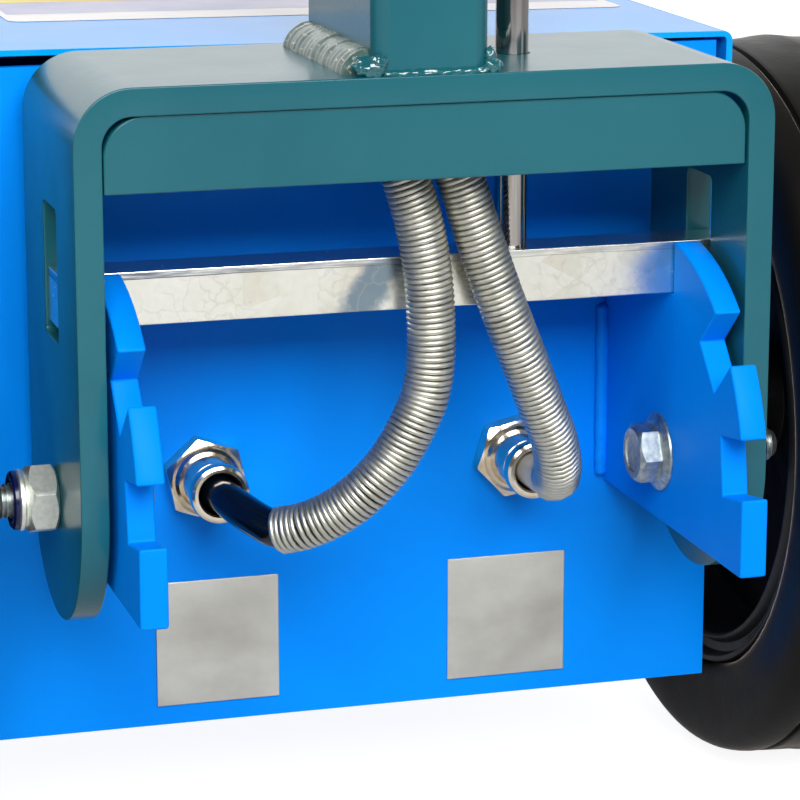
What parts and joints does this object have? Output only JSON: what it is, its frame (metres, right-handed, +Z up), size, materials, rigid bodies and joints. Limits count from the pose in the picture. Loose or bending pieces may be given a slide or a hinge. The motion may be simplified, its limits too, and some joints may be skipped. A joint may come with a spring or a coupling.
{
  "type": "drain snake machine",
  "caption": "Wheeled drain cleaning machine: boxed cable drum with a cable outlet, and an upright push handle held by a spring-loaded lock bar in detent plates.",
  "frame": {"origin": "centre of the machine's bounding box, at ground level under the wheels and feet", "axes": "+X across the machine to the operator's right, +Y towards the cable outlet, +Z up"},
  "size_m": [0.534, 0.6754, 0.9328],
  "materials": {
    "blue_paint": "semi-gloss powder coat",
    "lid_paint": "semi-gloss powder coat",
    "teal_paint": "smooth gloss enamel",
    "zinc": "bright zinc plate",
    "chrome": "bright chrome plate",
    "steel": "bare steel",
    "fitting_brass": "dull nickel plate",
    "label_metal": "brushed",
    "rubber_black": "matt",
    "grip_rubber": "matt",
    "hose_rubber": "glossy",
    "hose_plastic": "glossy, translucent",
    "tyre_rubber": "matt",
    "rim_plastic": "satin",
    "motor_paint": "satin",
    "outlet_steel": "dark coat",
    "black_plastic": "fine texture",
    "button_red": "gloss",
    "button_green": "gloss"
  },
  "bodies": {
    "chassis": {"housing_shell": "blue_paint", "rear_panel": "blue_paint", "front_panel": "blue_paint", "lid": "lid_paint", "lid_screws": "zinc", "bulkhead": "blue_paint", "quadrant_plate_left": "blue_paint", "quadrant_plate_right": "blue_paint", "quadrant_welds": "blue_paint", "pivot_bolt_left": "zinc", "pivot_bolt_right": "zinc", "pivot_nut_left": "zinc", "pivot_nut_right": "zinc", "pivot_washers": "zinc", "hose_fitting_left": "fitting_brass", "hose_fitting_right": "fitting_brass", "label_plate_left": "label_metal", "label_plate_right": "label_metal", "axle": "steel", "axle_nuts": "zinc", "front_leg_left": "blue_paint", "front_leg_right": "blue_paint", "foot_left": "rubber_black", "foot_right": "rubber_black", "motor": "motor_paint", "drum_bearings": "steel", "outlet_tube": "outlet_steel", "cable_gland": "black_plastic"},
    "handle": {"yoke": "teal_paint", "web_plate": "teal_paint", "handle_tube": "teal_paint", "base_welds": "teal_paint", "crossbar": "teal_paint", "grip_left": "grip_rubber", "grip_right": "grip_rubber", "rod_guide_lower": "teal_paint", "rod_guide_upper": "teal_paint", "control_box": "black_plastic", "return_spring": "steel", "hose_black": "hose_rubber", "hose_clear": "hose_plastic", "spring_guard_left": "steel", "spring_guard_right": "steel"},
    "lock": {"lock_bar": "zinc", "pull_rod": "chrome", "rod_collar": "steel", "pull_knob": "black_plastic"},
    "stop_button": {"button_left": "button_red"},
    "start_button": {"button_right": "button_green"},
    "wheel_left": {"tyre_left": "tyre_rubber", "rim_left": "rim_plastic", "bushing_left": "steel"},
    "wheel_right": {"tyre_right": "tyre_rubber", "rim_right": "rim_plastic", "bushing_right": "steel"},
    "drum": {"drum_can": "motor_paint", "drum_shaft": "steel", "cable_coil": "steel", "cable_end": "steel", "cable_tip": "steel"}
  },
  "joints": [
    {"name": "handle_fold", "type": "hinge", "parent": "chassis", "child": "handle", "pos_m": [0, -0.25575, 0.1625], "axis": [1, 0, 0], "range_deg": [-0.5, 0.5]},
    {"name": "lock_lift", "type": "slide", "parent": "handle", "child": "lock", "axis": [0, 0, 1], "range_m": [0, 0.023], "stiffness_N_per_m": 1500, "springref_m": -0.02, "deforming": ["return_spring"]},
    {"name": "stop_button_press", "type": "slide", "parent": "handle", "child": "stop_button", "axis": [0, 0, -1], "range_m": [0, 0.004], "stiffness_N_per_m": 400, "springref_m": -0.003},
    {"name": "start_button_press", "type": "slide", "parent": "handle", "child": "start_button", "axis": [0, 0, -1], "range_m": [0, 0.004], "stiffness_N_per_m": 400, "springref_m": -0.003},
    {"name": "wheel_left_spin", "type": "hinge", "parent": "chassis", "child": "wheel_left", "pos_m": [-0.202, -0.13225, 0.15], "axis": [1, 0, 0], "continuous": true},
    {"name": "wheel_right_spin", "type": "hinge", "parent": "chassis", "child": "wheel_right", "pos_m": [0.202, -0.13225, 0.15], "axis": [1, 0, 0], "continuous": true},
    {"name": "drum_spin", "type": "hinge", "parent": "chassis", "child": "drum", "pos_m": [0, -0.02225, 0.2], "axis": [0, 1, 0], "continuous": true}
  ]
}
